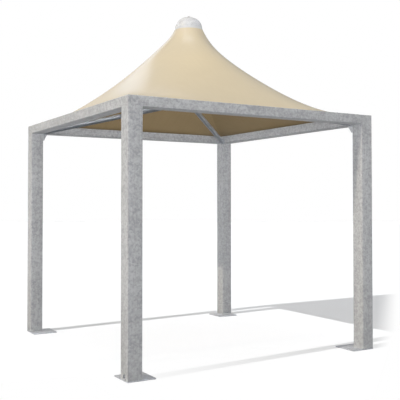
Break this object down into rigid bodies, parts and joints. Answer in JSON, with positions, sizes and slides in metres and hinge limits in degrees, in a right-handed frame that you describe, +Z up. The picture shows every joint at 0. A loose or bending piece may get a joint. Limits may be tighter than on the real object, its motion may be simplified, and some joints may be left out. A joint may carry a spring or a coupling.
{
  "type": "garden gazebo",
  "caption": "Square garden gazebo: box-section galvanised steel posts on base plates, a mitred top frame, diagonal struts to a central mast and a peaked tensioned membrane roof with a dome cap",
  "frame": {"origin": "on the ground, under the middle of the roof", "axes": "+Z up; +X from the left side to the right side; +Y from the front to the back"},
  "size_m": [3, 3, 3.8673],
  "materials": {
    "galvanised_steel": "hot-dip galvanised, dull, with a soft crystal pattern and streaks",
    "galvanised_tube": "smooth galvanised tube",
    "zinc_fitting": "bright zinc-plated fittings",
    "membrane": "beige coated membrane with a soft sheen",
    "cap_plastic": "milky white, glossy"
  },
  "bodies": {
    "root": {"post_front_left": "galvanised_steel", "post_front_right": "galvanised_steel", "post_back_left": "galvanised_steel", "post_back_right": "galvanised_steel", "base_plate_front_left": "galvanised_steel", "base_plate_front_right": "galvanised_steel", "base_plate_back_left": "galvanised_steel", "base_plate_back_right": "galvanised_steel", "beam_front": "galvanised_steel", "beam_right": "galvanised_steel", "beam_back": "galvanised_steel", "beam_left": "galvanised_steel", "bracket_front_left": "galvanised_steel", "bracket_front_right": "galvanised_steel", "bracket_back_left": "galvanised_steel", "bracket_back_right": "galvanised_steel", "clamp_bar_front": "galvanised_steel", "clamp_bar_right": "galvanised_steel", "clamp_bar_back": "galvanised_steel", "clamp_bar_left": "galvanised_steel", "strut_front_left": "galvanised_tube", "strut_front_right": "galvanised_tube", "strut_back_left": "galvanised_tube", "strut_back_right": "galvanised_tube", "hub": "galvanised_tube", "mast": "galvanised_tube", "mast_head": "zinc_fitting", "neck_clamp_ring": "zinc_fitting", "cap_nut": "zinc_fitting", "canopy_membrane": "membrane", "dome_cap": "cap_plastic"}
  },
  "joints": []
}
